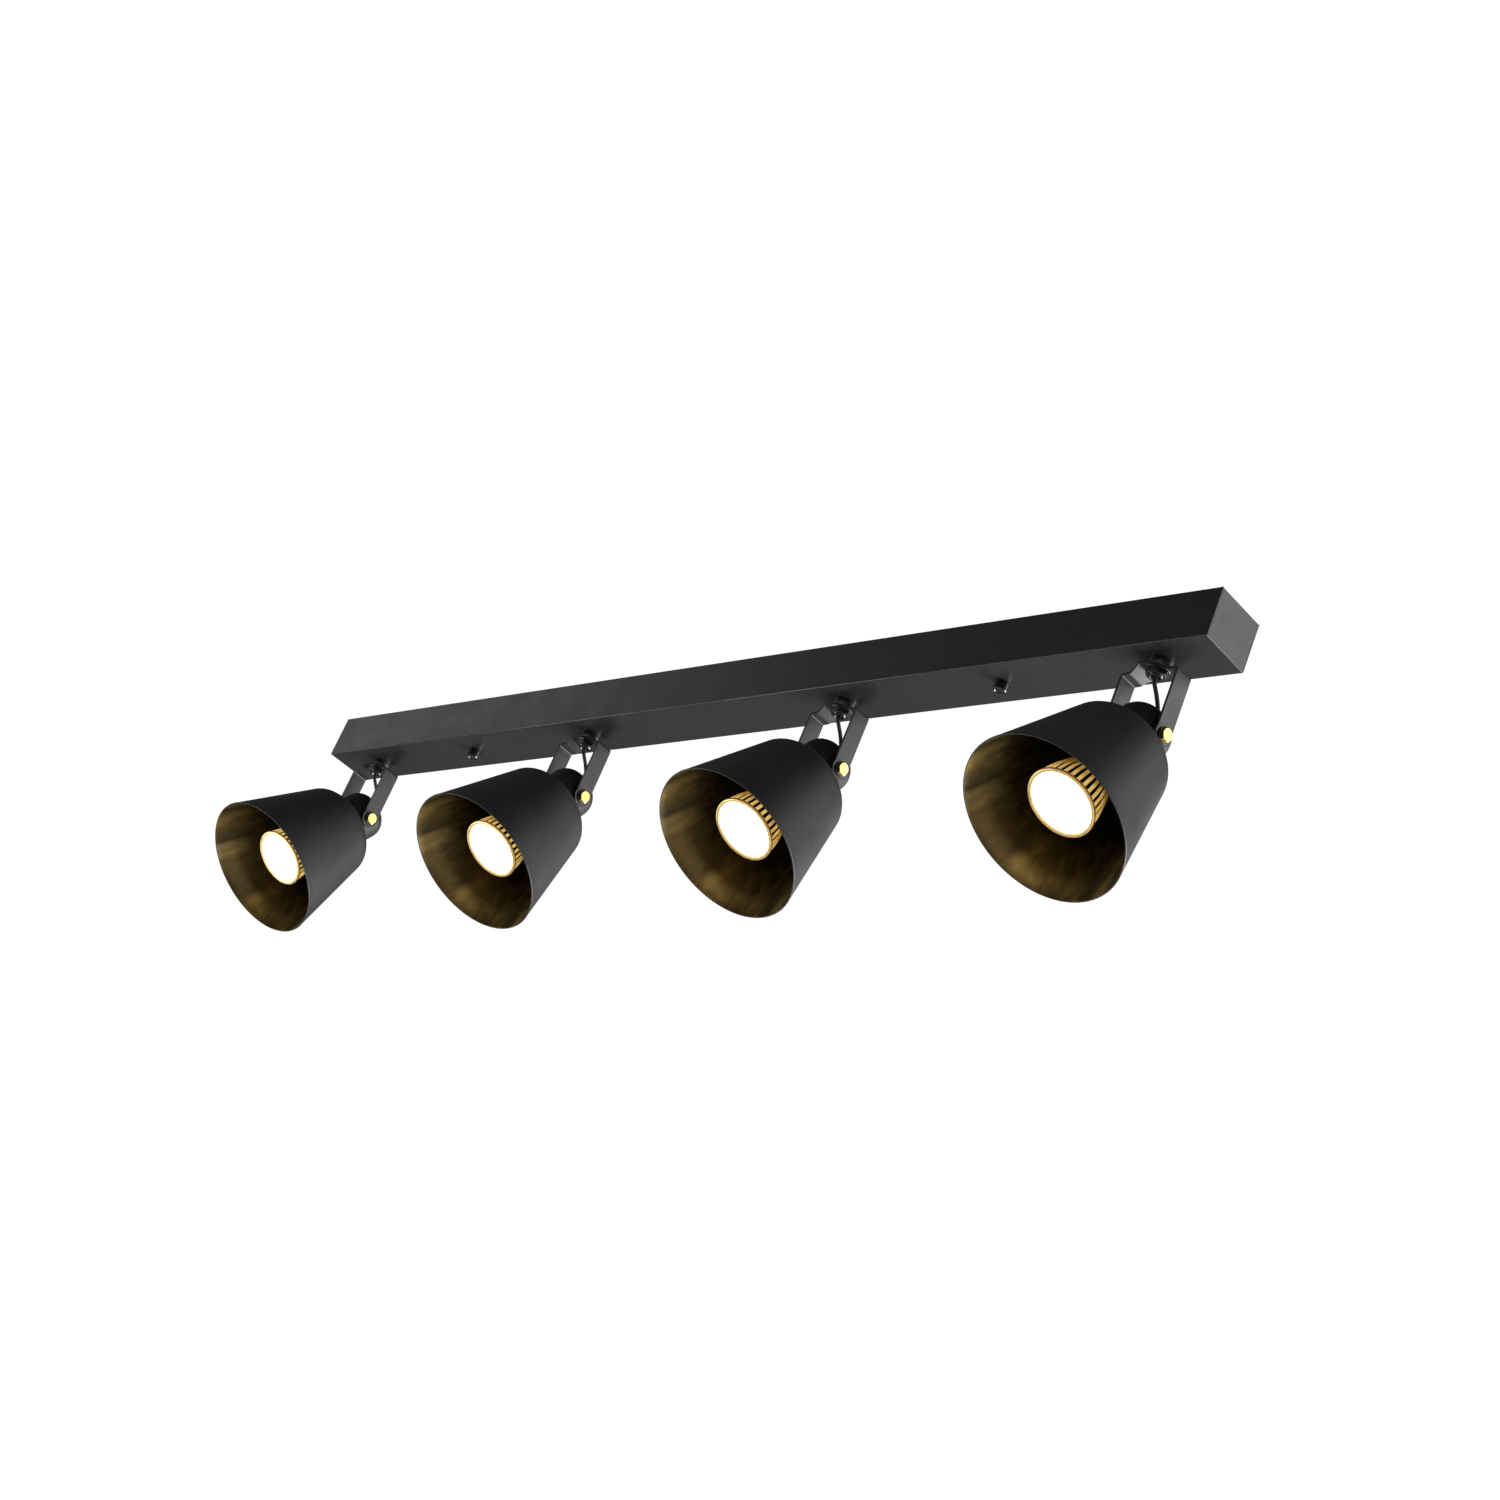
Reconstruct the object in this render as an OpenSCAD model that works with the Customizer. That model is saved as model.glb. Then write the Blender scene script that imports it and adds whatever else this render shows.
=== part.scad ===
// Four-head ceiling spotlight bar. Millimetres, +Z up.
// Origin: centre of the face that rests on the ceiling (z = 0). X runs along
// the bar, -Y is the front, everything hangs below z = 0.

/* [Housing] */
// Length of the bar
bar_len = 980; // [960:10:1100]
// Width of the bar
bar_w = 44; // [42:1:60]
// Height of the bar
bar_h = 38; // [36:1:38]
// Sheet thickness of the bar
sheet_t = 1.2; // [0.8:0.1:1.5]

/* [Ceiling fixing] */
// Length of the mounting strip
strip_len = 660; // [640:10:700]
// Width of the mounting strip
strip_w = 30; // [26:1:36]
// Distance between the two ceiling screw slots
slot_pitch = 500; // [440:10:540]
// Width of a ceiling screw slot
slot_w = 5.2; // [4.2:0.2:6.2]
// End to end length of a ceiling screw slot
slot_len = 20; // [12:1:26]
// Distance between the two cap nuts under the bar
stud_pitch = 600; // [590:10:620]

/* [Lamps] */
// Distance between neighbouring lamps
lamp_pitch = 292; // [270:1:300]
// Lean of lamp 1 (left) from straight down towards the front
tilt_1 = 35; // [-85:0.5:85]
// Lean of lamp 2
tilt_2 = 29.5; // [-85:0.5:85]
// Lean of lamp 3
tilt_3 = 28.5; // [-85:0.5:85]
// Lean of lamp 4 (right)
tilt_4 = 28.5; // [-85:0.5:85]
// Swivel of lamp 1 about the vertical
turn_1 = 2; // [-175:1:175]
// Swivel of lamp 2
turn_2 = 3; // [-175:1:175]
// Swivel of lamp 3
turn_3 = 0; // [-175:1:175]
// Swivel of lamp 4
turn_4 = -1; // [-175:1:175]

/* [Yoke] */
// Outer width across the two arms
yoke_span = 49; // [49:0.5:50]
// Width of an arm
arm_w = 14.5; // [12:0.5:15]
// Strap thickness
strap_t = 2; // [1.5:0.1:2.2]
// Radius of the round end of an arm
arm_end_r = 8; // [7.5:0.5:8]
// Half width of the raised centre pad, front to back
pad_half = 9.5; // [8:0.5:10]

/* [Shade] */
// Outer radius of the mouth
mouth_r = 60.5; // [56:0.5:62]
// Distance from the tilt axis to the mouth
mouth_z = 106; // [100:1:112]
// Wall thickness of the shade
shade_t = 1.2; // [1:0.1:1.5]
// Outer radius of the neck cup
neck_r = 21; // [20:0.5:21]

/* [Lamp bulb] */
// Outer radius of the bulb rim
bulb_r = 25; // [24:0.5:25]
// Distance from the tilt axis to the bulb face
bulb_face_z = 86; // [84:1:88]
// Number of cooling fins
fins = 30; // [20:1:30]
// Thickness of a cooling fin
fin_t = 2.4; // [1.2:0.1:2.6]

/* [Hidden] */
$fn = 96;

tilt = [tilt_1, tilt_2, tilt_3, tilt_4];
turn = [turn_1, turn_2, turn_3, turn_4];
lamp_x = [for (i = [0:3]) (i - 1.5) * lamp_pitch];
bottom = -bar_h;              // underside of the bar
pivot_z = -98;                // height of every tilt axis
pad_top = bottom - 4.1;       // top of the yoke's raised centre pad
shoulder_z = bottom - 10.2;   // height of the yoke's shoulders
lead_r = 1.5;                 // radius of a lamp lead
nip_r = 5;                    // radius of a hollow nipple
nip_in = 3.5;                 // bore of a hollow nipple
arm_out = yoke_span / 2;
arm_in = arm_out - strap_t;
washer_t = 1;
gap = 0.1;
boss_x = arm_in - gap - washer_t;   // flat face of the neck cup's side bosses
neck_end = 8.4;               // front end of the neck cup
blend_z = 25;                 // where the shade's shoulder meets its cone
back_r = 21.8;                // shade radius where the shoulder starts
cone_k = 0.25;                // growth of the cone per millimetre

// ---- general shapes -------------------------------------------------------
module at_lamp(i) translate([lamp_x[i], 0, 0]) rotate([0, 0, turn[i]]) children();
// head frame: +Z points out of the mouth, the tilt axis is X
module at_head(i) at_lamp(i) translate([0, 0, pivot_z]) rotate([180 - tilt[i], 0, 0]) children();

module ring(r1, r0, z0, z1) translate([0, 0, z0]) difference() {
    cylinder(r = r1, h = z1 - z0);
    translate([0, 0, -1]) cylinder(r = r0, h = z1 - z0 + 2);
}
module hex_nut(af, bore, z0, z1) translate([0, 0, z0]) difference() {
    cylinder(r = af / 2 / cos(30), h = z1 - z0, $fn = 6);
    translate([0, 0, -1]) cylinder(r = bore, h = z1 - z0 + 2);
}
module slot(len, w, z0, z1) {
    for (s = [-1, 1]) translate([s * (len - w) / 2, 0, z0]) cylinder(r = w / 2, h = z1 - z0);
    translate([-(len - w) / 2, -w / 2, z0]) cube([len - w, w, z1 - z0]);
}

// ---- swept round tube along a smooth curve through P ----------------------
function unit(v) = v / norm(v);
function cr(a, b, c, d, t) = 0.5 * (2 * b + (c - a) * t + (2 * a - 5 * b + 4 * c - d) * t * t
    + (3 * b - a - 3 * c + d) * t * t * t);
function curve(P, k) = let (n = len(P)) concat(
    [for (i = [0:n - 2]) for (j = [0:k - 1])
        cr(P[max(i - 1, 0)], P[i], P[i + 1], P[min(i + 2, n - 1)], j / k)], [P[n - 1]]);
module tube(Q, r, ref, n = 8) {
    m = len(Q);
    pts = [for (i = [0:m - 1]) let (t = unit(Q[min(i + 1, m - 1)] - Q[max(i - 1, 0)]),
        u = unit(ref - (ref * t) * t), v = cross(t, u))
        for (j = [0:n - 1]) Q[i] + r * (cos(360 * j / n) * u + sin(360 * j / n) * v)];
    sides = [for (i = [0:m - 2]) for (j = [0:n - 1]) for (h = [0, 1])
        h == 0 ? [i * n + j, (i + 1) * n + j, (i + 1) * n + (j + 1) % n]
               : [i * n + j, (i + 1) * n + (j + 1) % n, i * n + (j + 1) % n]];
    polyhedron(points = pts, faces = concat([[for (j = [0:n - 1]) j]], sides,
        [[for (j = [n - 1:-1:0]) (m - 1) * n + j]]));
}

// ---- fixed parts ----------------------------------------------------------
module housing() color("#1c1c1c") difference() {
    translate([-bar_len / 2, -bar_w / 2, bottom]) cube([bar_len, bar_w, bar_h]);
    translate([-bar_len / 2 + sheet_t, -bar_w / 2 + sheet_t, bottom + sheet_t])
        cube([bar_len - 2 * sheet_t, bar_w - 2 * sheet_t, bar_h]);
    for (x = lamp_x) translate([x, 0, bottom - 1]) cylinder(r = nip_r + 0.25, h = sheet_t + 2);
    for (s = [-1, 1]) translate([s * stud_pitch / 2, 0, bottom - 1]) cylinder(r = 2.4, h = sheet_t + 2);
}

module mounting_strip() color("#b8bbbe") difference() {
    translate([-strip_len / 2, -strip_w / 2, -2]) cube([strip_len, strip_w, 2]);
    for (s = [-1, 1]) {
        translate([s * slot_pitch / 2, 0, 0]) slot(slot_len, slot_w, -3, 1);
        translate([s * stud_pitch / 2, 0, -3]) cylinder(r = 2.1, h = 4);
        translate([s * stud_pitch / 2, 0, -1.2]) cylinder(r = 3.8, h = 2);
    }
    translate([-60, 0, -3]) cylinder(r = 10, h = 4);
    translate([55, 0, -3]) cylinder(r = 1.6, h = 4);
    translate([110, 0, -3]) cylinder(r = 2.1, h = 4);
}

module mounting_studs() color("#9a9da0") for (s = [-1, 1]) translate([s * stud_pitch / 2, 0, 0]) {
    translate([0, 0, bottom - 5]) cylinder(r = 2, h = bar_h + 4.9);
    translate([0, 0, -1.1]) cylinder(r = 3.6, h = 1);
}

module stud_lock_nuts() color("#9a9da0") for (s = [-1, 1])
    translate([s * stud_pitch / 2, 0, 0]) hex_nut(7, 2.1, -5.2, -2);

module cap_nuts() color("#141414") for (s = [-1, 1]) translate([s * stud_pitch / 2, 0, bottom])
    rotate_extrude() polygon([[2.1, 0], [4.4, 0], [5, -0.6], [5, -6.1], [4.2, -6.8], [3, -7], [0, -7],
        [0, -5.4], [2.1, -5.4]]);

module threaded_nipples() color("#2a2a2a") for (x = lamp_x) translate([x, 0, 0])
    ring(nip_r, nip_in, bottom - 12.5, bottom + 4.8);

module nipple_lock_nuts() color("#9a9da0") for (x = lamp_x) translate([x, 0, 0])
    hex_nut(14, nip_r + 0.05, bottom + sheet_t, bottom + sheet_t + 3);

module swivel_spacers() color("#161616") for (x = lamp_x) translate([x, 0, 0])
    ring(8.5, nip_r + 0.05, pad_top + gap, bottom);

module swivel_washers() color("#3a3a3a") for (x = lamp_x) translate([x, 0, 0])
    ring(8.6, nip_r + 0.05, pad_top - strap_t - 1.1, pad_top - strap_t - gap);

module swivel_nuts() color("#222222") for (x = lamp_x) translate([x, 0, 0])
    hex_nut(14, nip_r + 0.05, pad_top - strap_t - 5.1, pad_top - strap_t - 1.1);

module terminal_block() color("#e8e6df") difference() {
    translate([44, -10, -18]) cube([32, 20, 16]);
    for (x = [50, 60, 70]) {
        translate([x, 0, -10]) rotate([90, 0, 0]) cylinder(r = 1.9, h = 16, center = true);
        for (y = [-5, 5]) translate([x, y, -19]) cylinder(r = 1.8, h = 6.5);
    }
    translate([55, 0, -19]) cylinder(r = 1.7, h = 20);
    translate([55, 0, -19]) cylinder(r = 3, h = 3.5);
}

module terminal_screws() color("#c9a24a") for (x = [50, 60, 70]) for (y = [-5, 5])
    translate([x, y, -17]) cylinder(r = 1.6, h = 4.4);

module block_screw() color("#9a9da0") translate([55, 0, 0]) {
    translate([0, 0, -17.5]) cylinder(r = 2.8, h = 2);
    translate([0, 0, -16]) cylinder(r = 1.5, h = 15.5);
}

module earth_screw() color("#c9a24a") translate([110, 0, 0]) {
    translate([0, 0, -7.6]) cylinder(r = 3.8, h = 2.6);
    translate([0, 0, -5.2]) cylinder(r = 5.5, h = 1);
    translate([0, 0, -5]) cylinder(r = 2, h = 4.6);
}

// one lead from the terminal block to each nipple, side s = -1 left, 1 right
lead_start = [46.5, 54, 66, 73.5];
lead_run = [-20, -26, -26, -20];
function lead_pts(i) = let (s = i < 2 ? -1 : 1, a = lead_start[i], z = lead_run[i], x = lamp_x[i]) [
    [a, 10.3, -10], [a, 13, -10.5], [a + s * 5, 15.5, -14], [a + s * 12, 16, z + 1], [a + s * 20, 16, z],
    [(a + x) / 2, 16, z], [x - s * 34, 16, z], [x - s * 24, 14, (z - 22) / 2], [x - s * 13, 6, -22],
    [x - s * 5, 1, -23], [x, 0, -29], [x, 0, -35], [x, 0, bottom - 8]];
module internal_leads() color("#1a1a1a") for (i = [0:3])
    tube(curve(lead_pts(i), 2), lead_r, [i < 2 ? -1 : 1, -1, 1]);

module earth_wire() color("#6f9a2e") tube(curve([[60, -10.3, -10], [60, -13, -10], [66, -15.5, -9],
    [80, -15, -8], [94, -10, -6], [102, -3, -3.4], [107.8, 0, -3.1]], 3), 1, [-1, -1, 1]);

// ---- yoke: a strap bent to a raised centre pad, two shoulders and two arms -
function arc_pts(cx, cz, r, a0, a1, n) = [for (k = [0:n]) [cx + r * cos(a0 + (a1 - a0) * k / n),
    cz + r * sin(a0 + (a1 - a0) * k / n)]];
half_out = concat([[9.5, pad_top], [17.5, shoulder_z], [arm_out - 3.2, shoulder_z]],
    arc_pts(arm_out - 3.2, shoulder_z - 3.2, 3.2, 90, 0, 6), [[arm_out, pivot_z]]);
half_in = concat([[arm_in, pivot_z]], arc_pts(arm_out - 3.2, shoulder_z - 3.2, 3.2 - strap_t, 0, 90, 4),
    [[16.9, shoulder_z - strap_t], [8.8, pad_top - strap_t]]);
function flip(P) = [for (k = [len(P) - 1:-1:0]) [-P[k][0], P[k][1]]];
module yoke(i) color("#232323") at_lamp(i) difference() {
    union() {
        intersection() {
            rotate([90, 0, 0]) translate([0, 0, -pad_half]) linear_extrude(2 * pad_half)
                polygon(concat(half_out, half_in, flip(half_in), flip(half_out)));
            translate([0, 0, pivot_z]) linear_extrude(70) polygon([[-30, -arm_w / 2], [-15.5, -arm_w / 2],
                [-9, -pad_half], [9, -pad_half], [15.5, -arm_w / 2], [30, -arm_w / 2],
                [30, arm_w / 2], [15.5, arm_w / 2], [9, pad_half], [-9, pad_half],
                [-15.5, arm_w / 2], [-30, arm_w / 2]]);
        }
        for (s = [-1, 1]) translate([s * (arm_in + strap_t / 2), 0, pivot_z]) rotate([0, 90, 0])
            cylinder(r = arm_end_r, h = strap_t, center = true);
    }
    translate([0, 0, pad_top - strap_t - 1]) cylinder(r = nip_r + 0.05, h = strap_t + 2);
    translate([0, 0, pivot_z]) rotate([0, 90, 0]) cylinder(r = 2.55, h = 60, center = true);
}

// ---- head -----------------------------------------------------------------
// outer radius of the shade at a distance z in front of the tilt axis
function cone(z) = mouth_r - cone_k * (mouth_z - z);
function shade_out(z) = z >= blend_z ? cone(z)
    : cone(z) - (cone(neck_end) - back_r) * pow((blend_z - z) / (blend_z - neck_end), 2.2);
function slope(z) = (shade_out(z + 0.05) - shade_out(z - 0.05)) / 0.1;
function inward(z) = let (k = slope(max(z, neck_end + 0.05))) [shade_out(z) - shade_t / sqrt(1 + k * k),
    z + shade_t * k / sqrt(1 + k * k)];
shade_z = [8.4, 9.4, 10.6, 12, 13.6, 15.4, 17.4, 19.6, 22, 25, 60];
module shade(i) color("#202020") at_head(i) rotate_extrude() polygon(concat(
    [[19.9, neck_end]], [for (z = shade_z) [shade_out(z), z]], [[mouth_r, mouth_z], [mouth_r - 1.24, mouth_z]],
    [for (k = [len(shade_z) - 1:-1:0]) inward(shade_z[k])], [[19.9, neck_end + shade_t + 0.1]]));

dome_a = 11;      // depth of the rounding at the neck cup's rear
dome_r = 12;      // flat radius at its very rear
dome_z = -9;
function dome(rad, dep, n) = [for (k = [0:n]) [dome_r + rad * cos(90 * k / n), dome_z - dep * sin(90 * k / n)]];
module neck_cup(i) color("#181818") at_head(i) difference() {
    union() {
        rotate_extrude() polygon(concat([[0, neck_end], [neck_r, neck_end]],
            dome(neck_r - dome_r, dome_a, 10), [[0, dome_z - dome_a]]));
        for (s = [-1, 1]) translate([s * (boss_x / 2 + 6), 0, 0]) rotate([0, 90, 0])
            cylinder(r = 6.8, h = boss_x - 12, center = true);
    }
    rotate_extrude() polygon(concat([[0, neck_end + 1], [neck_r - 1.2, neck_end + 1]],
        dome(neck_r - 1.2 - dome_r, dome_a - 1.2, 10), [[0, dome_z - dome_a + 1.2]]));
    rotate([0, 90, 0]) cylinder(r = 2.55, h = 60, center = true);
    translate([0, 0, dome_z - dome_a - 2]) cylinder(r = 2.2, h = 5);
}

// hexagon-headed screws that clamp the neck cup between the arms
module tilt_screws(i) color("#d8a93a") at_head(i) for (s = [0, 180]) rotate([0, 0, s]) rotate([0, 90, 0]) {
    translate([0, 0, 16.5]) cylinder(r = 2.5, h = 10);
    translate([0, 0, arm_out + gap + washer_t]) intersection() {
        cylinder(r = 5, h = 2.6, $fn = 6);
        rotate_extrude() polygon([[0, 0], [4.7, 0], [5, 0.3], [5, 1.9], [4.1, 2.6], [0, 2.6]]);
    }
}

module pivot_washers(i) color("#101010") at_head(i) for (s = [0, 180]) rotate([0, 0, s]) rotate([0, 90, 0]) {
    ring(5.8, 2.6, boss_x, boss_x + washer_t);
    ring(5.8, 2.6, arm_out + gap, arm_out + gap + washer_t);
}

module lampholder(i) color("#efece2") at_head(i) difference() {
    rotate_extrude() polygon([[0, 4], [14, 4], [14, 6], [19.4, 6], [19.4, 8.2], [14, 8.2], [14, 35], [13, 36], [0, 36]]);
    for (s = [-1, 1]) translate([s * 5, 0, 28.5]) cylinder(r = 2.8, h = 10);
}

heat_back = 52;
module fin_star() { circle(r = 14); for (k = [0:fins - 1]) rotate(360 * k / fins) translate([10, -fin_t / 2]) square([16, fin_t]); }
module bulb_heatsink(i) color("#caa865") at_head(i) difference() {
    union() {
        intersection() {
            translate([0, 0, heat_back]) linear_extrude(bulb_face_z - 1.8 - heat_back) fin_star();
            rotate_extrude() polygon([[0, heat_back - 1], [15.5, heat_back - 1], [19.5, 62], [22.8, 74],
                [24.6, bulb_face_z - 1], [0, bulb_face_z - 1]]);
        }
        rotate_extrude() polygon([[0, heat_back], [13.6, heat_back], [16, 62], [19, 75], [20.5, bulb_face_z - 3.6],
            [22.9, bulb_face_z - 2.3], [24.6, bulb_face_z - 1.9], [bulb_r, bulb_face_z - 1.5], [bulb_r, bulb_face_z - 0.6], [bulb_r - 0.6, bulb_face_z],
            [0, bulb_face_z]]);
    }
    translate([0, 0, bulb_face_z - 1.6]) cylinder(r = 22.5, h = 3);
}

module bulb_lens(i) color("#fff6e0") at_head(i) rotate_extrude() polygon([[0, bulb_face_z - 1.5],
    [22.4, bulb_face_z - 1.5], [22.4, bulb_face_z - 0.9], [21.6, bulb_face_z - 0.5], [12, bulb_face_z - 0.15],
    [0, bulb_face_z]]);

module bulb_base(i) color("#f2f0ea") at_head(i) {
    rotate_extrude() polygon([[0, 36.1], [12, 36.1], [12.6, 37], [13.4, heat_back], [0, heat_back]]);
    for (s = [-1, 1]) translate([s * 5, 0, 0]) {
        translate([0, 0, 31]) cylinder(r = 1.5, h = 6);
        translate([0, 0, 29]) cylinder(r = 2.5, h = 2.2);
    }
}

// lead from the nipple to the rear of the neck cup and on to the lampholder
function hp(i, z, y) = [0, -sin(tilt[i]) * z - cos(tilt[i]) * y, pivot_z - cos(tilt[i]) * z + sin(tilt[i]) * y];
function drop_pts(i) = let (e = hp(i, -29.5, 0)) [[0, 0, bottom - 8.2], [0, 0.1, bottom - 12.5], [0, 1.5, bottom - 16.5],
    [0, e[1] * 0.5, e[2] + 11.5], [0, e[1] * 0.84, e[2] + 4.2], hp(i, -27, 0), hp(i, -20, 0), hp(i, 4, 0)];
module lead(i) color("#1a1a1a") at_lamp(i) tube(curve(drop_pts(i), 3), lead_r, [1, 0, 0]);

module lead_grommet(i) color("#0f0f0f") at_head(i) rotate_extrude() polygon([
    [2.05, -25], [2.6, -25], [3.4, -20], [2.1, -20], [2.1, -18.6], [2.8, -18.2], [2.8, -17.6], [1.7, -17.6],
    [1.7, -21.5]]);

housing();
mounting_strip();
mounting_studs();
stud_lock_nuts();
cap_nuts();
threaded_nipples();
nipple_lock_nuts();
swivel_spacers();
swivel_washers();
swivel_nuts();
terminal_block();
terminal_screws();
block_screw();
earth_screw();
internal_leads();
earth_wire();
yoke(0);  // yoke_1
shade(0);  // shade_1
neck_cup(0);  // neck_cup_1
tilt_screws(0);  // tilt_screws_1
pivot_washers(0);  // pivot_washers_1
lampholder(0);  // lampholder_1
bulb_heatsink(0);  // bulb_heatsink_1
bulb_lens(0);  // bulb_lens_1
bulb_base(0);  // bulb_base_1
lead(0);  // lead_1
lead_grommet(0);  // lead_grommet_1
yoke(1);  // yoke_2
shade(1);  // shade_2
neck_cup(1);  // neck_cup_2
tilt_screws(1);  // tilt_screws_2
pivot_washers(1);  // pivot_washers_2
lampholder(1);  // lampholder_2
bulb_heatsink(1);  // bulb_heatsink_2
bulb_lens(1);  // bulb_lens_2
bulb_base(1);  // bulb_base_2
lead(1);  // lead_2
lead_grommet(1);  // lead_grommet_2
yoke(2);  // yoke_3
shade(2);  // shade_3
neck_cup(2);  // neck_cup_3
tilt_screws(2);  // tilt_screws_3
pivot_washers(2);  // pivot_washers_3
lampholder(2);  // lampholder_3
bulb_heatsink(2);  // bulb_heatsink_3
bulb_lens(2);  // bulb_lens_3
bulb_base(2);  // bulb_base_3
lead(2);  // lead_3
lead_grommet(2);  // lead_grommet_3
yoke(3);  // yoke_4
shade(3);  // shade_4
neck_cup(3);  // neck_cup_4
tilt_screws(3);  // tilt_screws_4
pivot_washers(3);  // pivot_washers_4
lampholder(3);  // lampholder_4
bulb_heatsink(3);  // bulb_heatsink_4
bulb_lens(3);  // bulb_lens_4
bulb_base(3);  // bulb_base_4
lead(3);  // lead_4
lead_grommet(3);  // lead_grommet_4
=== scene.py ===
import math

import bmesh
import bpy
from mathutils import Matrix, Vector

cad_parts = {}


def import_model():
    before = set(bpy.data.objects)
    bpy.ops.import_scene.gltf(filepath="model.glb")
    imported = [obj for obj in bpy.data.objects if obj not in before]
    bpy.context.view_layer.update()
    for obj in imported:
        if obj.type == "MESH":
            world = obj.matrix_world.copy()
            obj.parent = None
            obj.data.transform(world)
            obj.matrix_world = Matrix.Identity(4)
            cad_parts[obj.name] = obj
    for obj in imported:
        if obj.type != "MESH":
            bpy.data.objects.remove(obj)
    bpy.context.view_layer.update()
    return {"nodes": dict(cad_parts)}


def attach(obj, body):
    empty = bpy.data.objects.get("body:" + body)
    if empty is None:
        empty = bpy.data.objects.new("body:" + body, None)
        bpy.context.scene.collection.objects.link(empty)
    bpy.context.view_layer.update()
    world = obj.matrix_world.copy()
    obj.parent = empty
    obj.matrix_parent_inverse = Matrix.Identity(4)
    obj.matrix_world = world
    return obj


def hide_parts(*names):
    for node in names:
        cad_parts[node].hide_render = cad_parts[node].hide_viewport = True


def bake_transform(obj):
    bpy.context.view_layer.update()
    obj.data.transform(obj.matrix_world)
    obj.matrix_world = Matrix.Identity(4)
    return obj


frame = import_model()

MM = 0.001
PIVOT_Z = -98.0
BOTTOM = -38.0
PAD_TOP = -42.1
LAMP_X = [-438.0, -146.0, 146.0, 438.0]
TILT = [35.0, 29.5, 28.5, 28.5]
TURN = [2.0, 3.0, 0.0, -1.0]
scene = bpy.context.scene


# ---------------------------------------------------------------- frames
def scale_t(x, y, z):
    return Matrix.Translation((x * MM, y * MM, z * MM))


def lamp_matrix(i):
    return scale_t(LAMP_X[i], 0, 0) @ Matrix.Rotation(math.radians(TURN[i]), 4, "Z")


def head_matrix(i):
    return lamp_matrix(i) @ scale_t(0, 0, PIVOT_Z) @ Matrix.Rotation(math.radians(180 - TILT[i]), 4, "X")


# ---------------------------------------------------------------- camera
cam_data = bpy.data.cameras.new("camera")
cam_data.sensor_width = 36.0
cam_data.lens = 64.159
cam_data.clip_start, cam_data.clip_end = 0.05, 60
cam = bpy.data.objects.new("camera", cam_data)
scene.collection.objects.link(cam)
right = Vector((0.6826187, 0.6389873, 0.35458))
down = Vector((-0.0786031, 0.5465972, -0.8336984))
ahead = Vector((-0.7265351, 0.541227, 0.4233438))
rot = Matrix((right, -down, -ahead)).transposed().to_4x4()
cam.matrix_world = Matrix.Translation((1.5213867, -1.0876036, -0.9218866)) @ rot
scene.camera = cam


# ---------------------------------------------------------------- mesh tools
def link(ob):
    scene.collection.objects.link(ob)
    return ob


def bake(ob):
    """Replaces ob's mesh with its modified mesh."""
    dg = bpy.context.evaluated_depsgraph_get()
    bpy.context.view_layer.update()
    me = bpy.data.meshes.new_from_object(ob.evaluated_get(dg))
    ob.modifiers.clear()
    ob.data = me
    return ob


def obj(name, verts, faces, mats=(), which=None, matrix=None, sharp=32, weighted=False):
    """A closed mesh from millimetre points, whose own frame is kept as the attribute lc."""
    me = bpy.data.meshes.new(name)
    me.from_pydata([tuple(c * MM for c in v) for v in verts], [], faces)
    for m in mats:
        me.materials.append(m)
    if which is not None:
        me.polygons.foreach_set("material_index", which)
    bm = bmesh.new()
    bm.from_mesh(me)
    bmesh.ops.remove_doubles(bm, verts=bm.verts, dist=2e-6)
    bmesh.ops.recalc_face_normals(bm, faces=bm.faces)
    bm.to_mesh(me)
    bm.free()
    own = [0.0] * (3 * len(me.vertices))
    me.vertices.foreach_get("co", own)
    me.attributes.new("lc", "FLOAT_VECTOR", "POINT").data.foreach_set("vector", own)
    if matrix is not None:
        me.transform(matrix)
    ob = link(bpy.data.objects.new(name, me))
    shade(ob, sharp, weighted)
    return ob


def shade(ob, sharp=32, weighted=False):
    me = ob.data
    me.polygons.foreach_set("use_smooth", [True] * len(me.polygons))
    me.set_sharp_from_angle(angle=math.radians(sharp))
    if weighted:
        w = ob.modifiers.new("flat", "WEIGHTED_NORMAL")
        w.keep_sharp = True
        w.weight = 80
    me.update()


def cut(ob, other, how="DIFFERENCE"):
    m = ob.modifiers.new("cut", "BOOLEAN")
    m.operation, m.solver, m.object = how, "EXACT", other
    bake(ob)
    bpy.data.objects.remove(other)
    return ob


def bevel(ob, width, segments=2, angle=40):
    m = ob.modifiers.new("round", "BEVEL")
    m.width, m.segments, m.limit_method, m.angle_limit = width * MM, segments, "ANGLE", math.radians(angle)
    m.miter_outer = "MITER_ARC"
    return bake(ob)


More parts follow.
